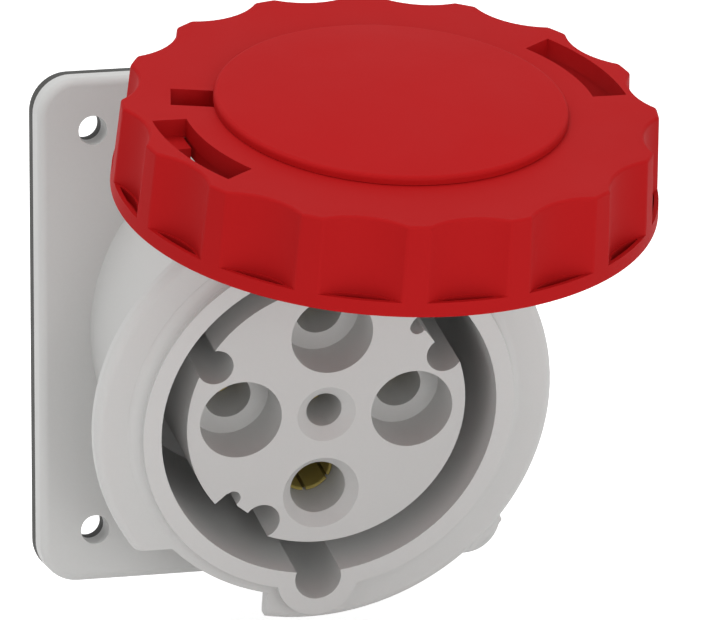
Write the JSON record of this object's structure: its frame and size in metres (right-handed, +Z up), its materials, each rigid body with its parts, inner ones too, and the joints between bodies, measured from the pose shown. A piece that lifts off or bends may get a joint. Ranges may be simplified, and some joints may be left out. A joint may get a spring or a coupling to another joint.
{
  "type": "industrial panel socket",
  "caption": "Angled panel-mounting industrial power socket with a tilted round keyed mouth, recessed contact insert and hinged lid with a bayonet locking ring.",
  "frame": {"origin": "centre of the four mounting holes, on the back face of the panel gasket", "axes": "+Y into the panel, -Y out of its front, +Z up along the panel, +X to the right as seen from the front"},
  "size_m": [0.1096, 0.1829, 0.1328],
  "materials": {
    "grey_moulding": "fine satin moulded grey plastic",
    "grey_insert": "satin moulded grey plastic",
    "black_rubber": "matt black rubber",
    "red_moulding": "semi-gloss moulded red plastic",
    "red_dome": "satin moulded red plastic",
    "contact_brass": "turned brass",
    "zinc_steel": "zinc-plated steel",
    "spring_steel": "drawn stainless steel",
    "white_washer": "natural nylon"
  },
  "bodies": {
    "socket": {"housing": "grey_moulding", "panel_gasket": "black_rubber", "insert_body": "grey_insert", "carrier_ring": "grey_insert", "insert_seal": "black_rubber", "terminal_block": "grey_insert", "block_screws": "zinc_steel", "insert_screws": "zinc_steel", "phase_sleeve_top": "contact_brass", "phase_sleeve_left": "contact_brass", "phase_sleeve_right": "contact_brass", "earth_sleeve": "contact_brass", "pilot_sleeve": "contact_brass", "earth_spring_ring": "spring_steel", "pilot_spring_ring": "spring_steel", "phase_spring_rings": "spring_steel", "terminal_screws": "zinc_steel", "pilot_screw": "zinc_steel", "hinge_pin": "spring_steel", "pin_clips": "spring_steel", "hinge_washers": "white_washer"},
    "lid": {"lid_cap": "red_moulding", "lid_dome": "red_dome", "dome_screws": "zinc_steel", "lid_seal": "black_rubber"},
    "ring": {"bayonet_ring": "red_moulding"}
  },
  "joints": [
    {"name": "lid_hinge", "type": "hinge", "parent": "socket", "child": "lid", "pos_m": [0, -0.04022, 0.04377], "axis": [1, 0, 0], "range_deg": [0, 90]},
    {"name": "ring_turn", "type": "hinge", "parent": "lid", "child": "ring", "pos_m": [0, -0.08927, 0.03154], "axis": [0, 0.2419, -0.9703], "range_deg": [0, 34.5]}
  ]
}
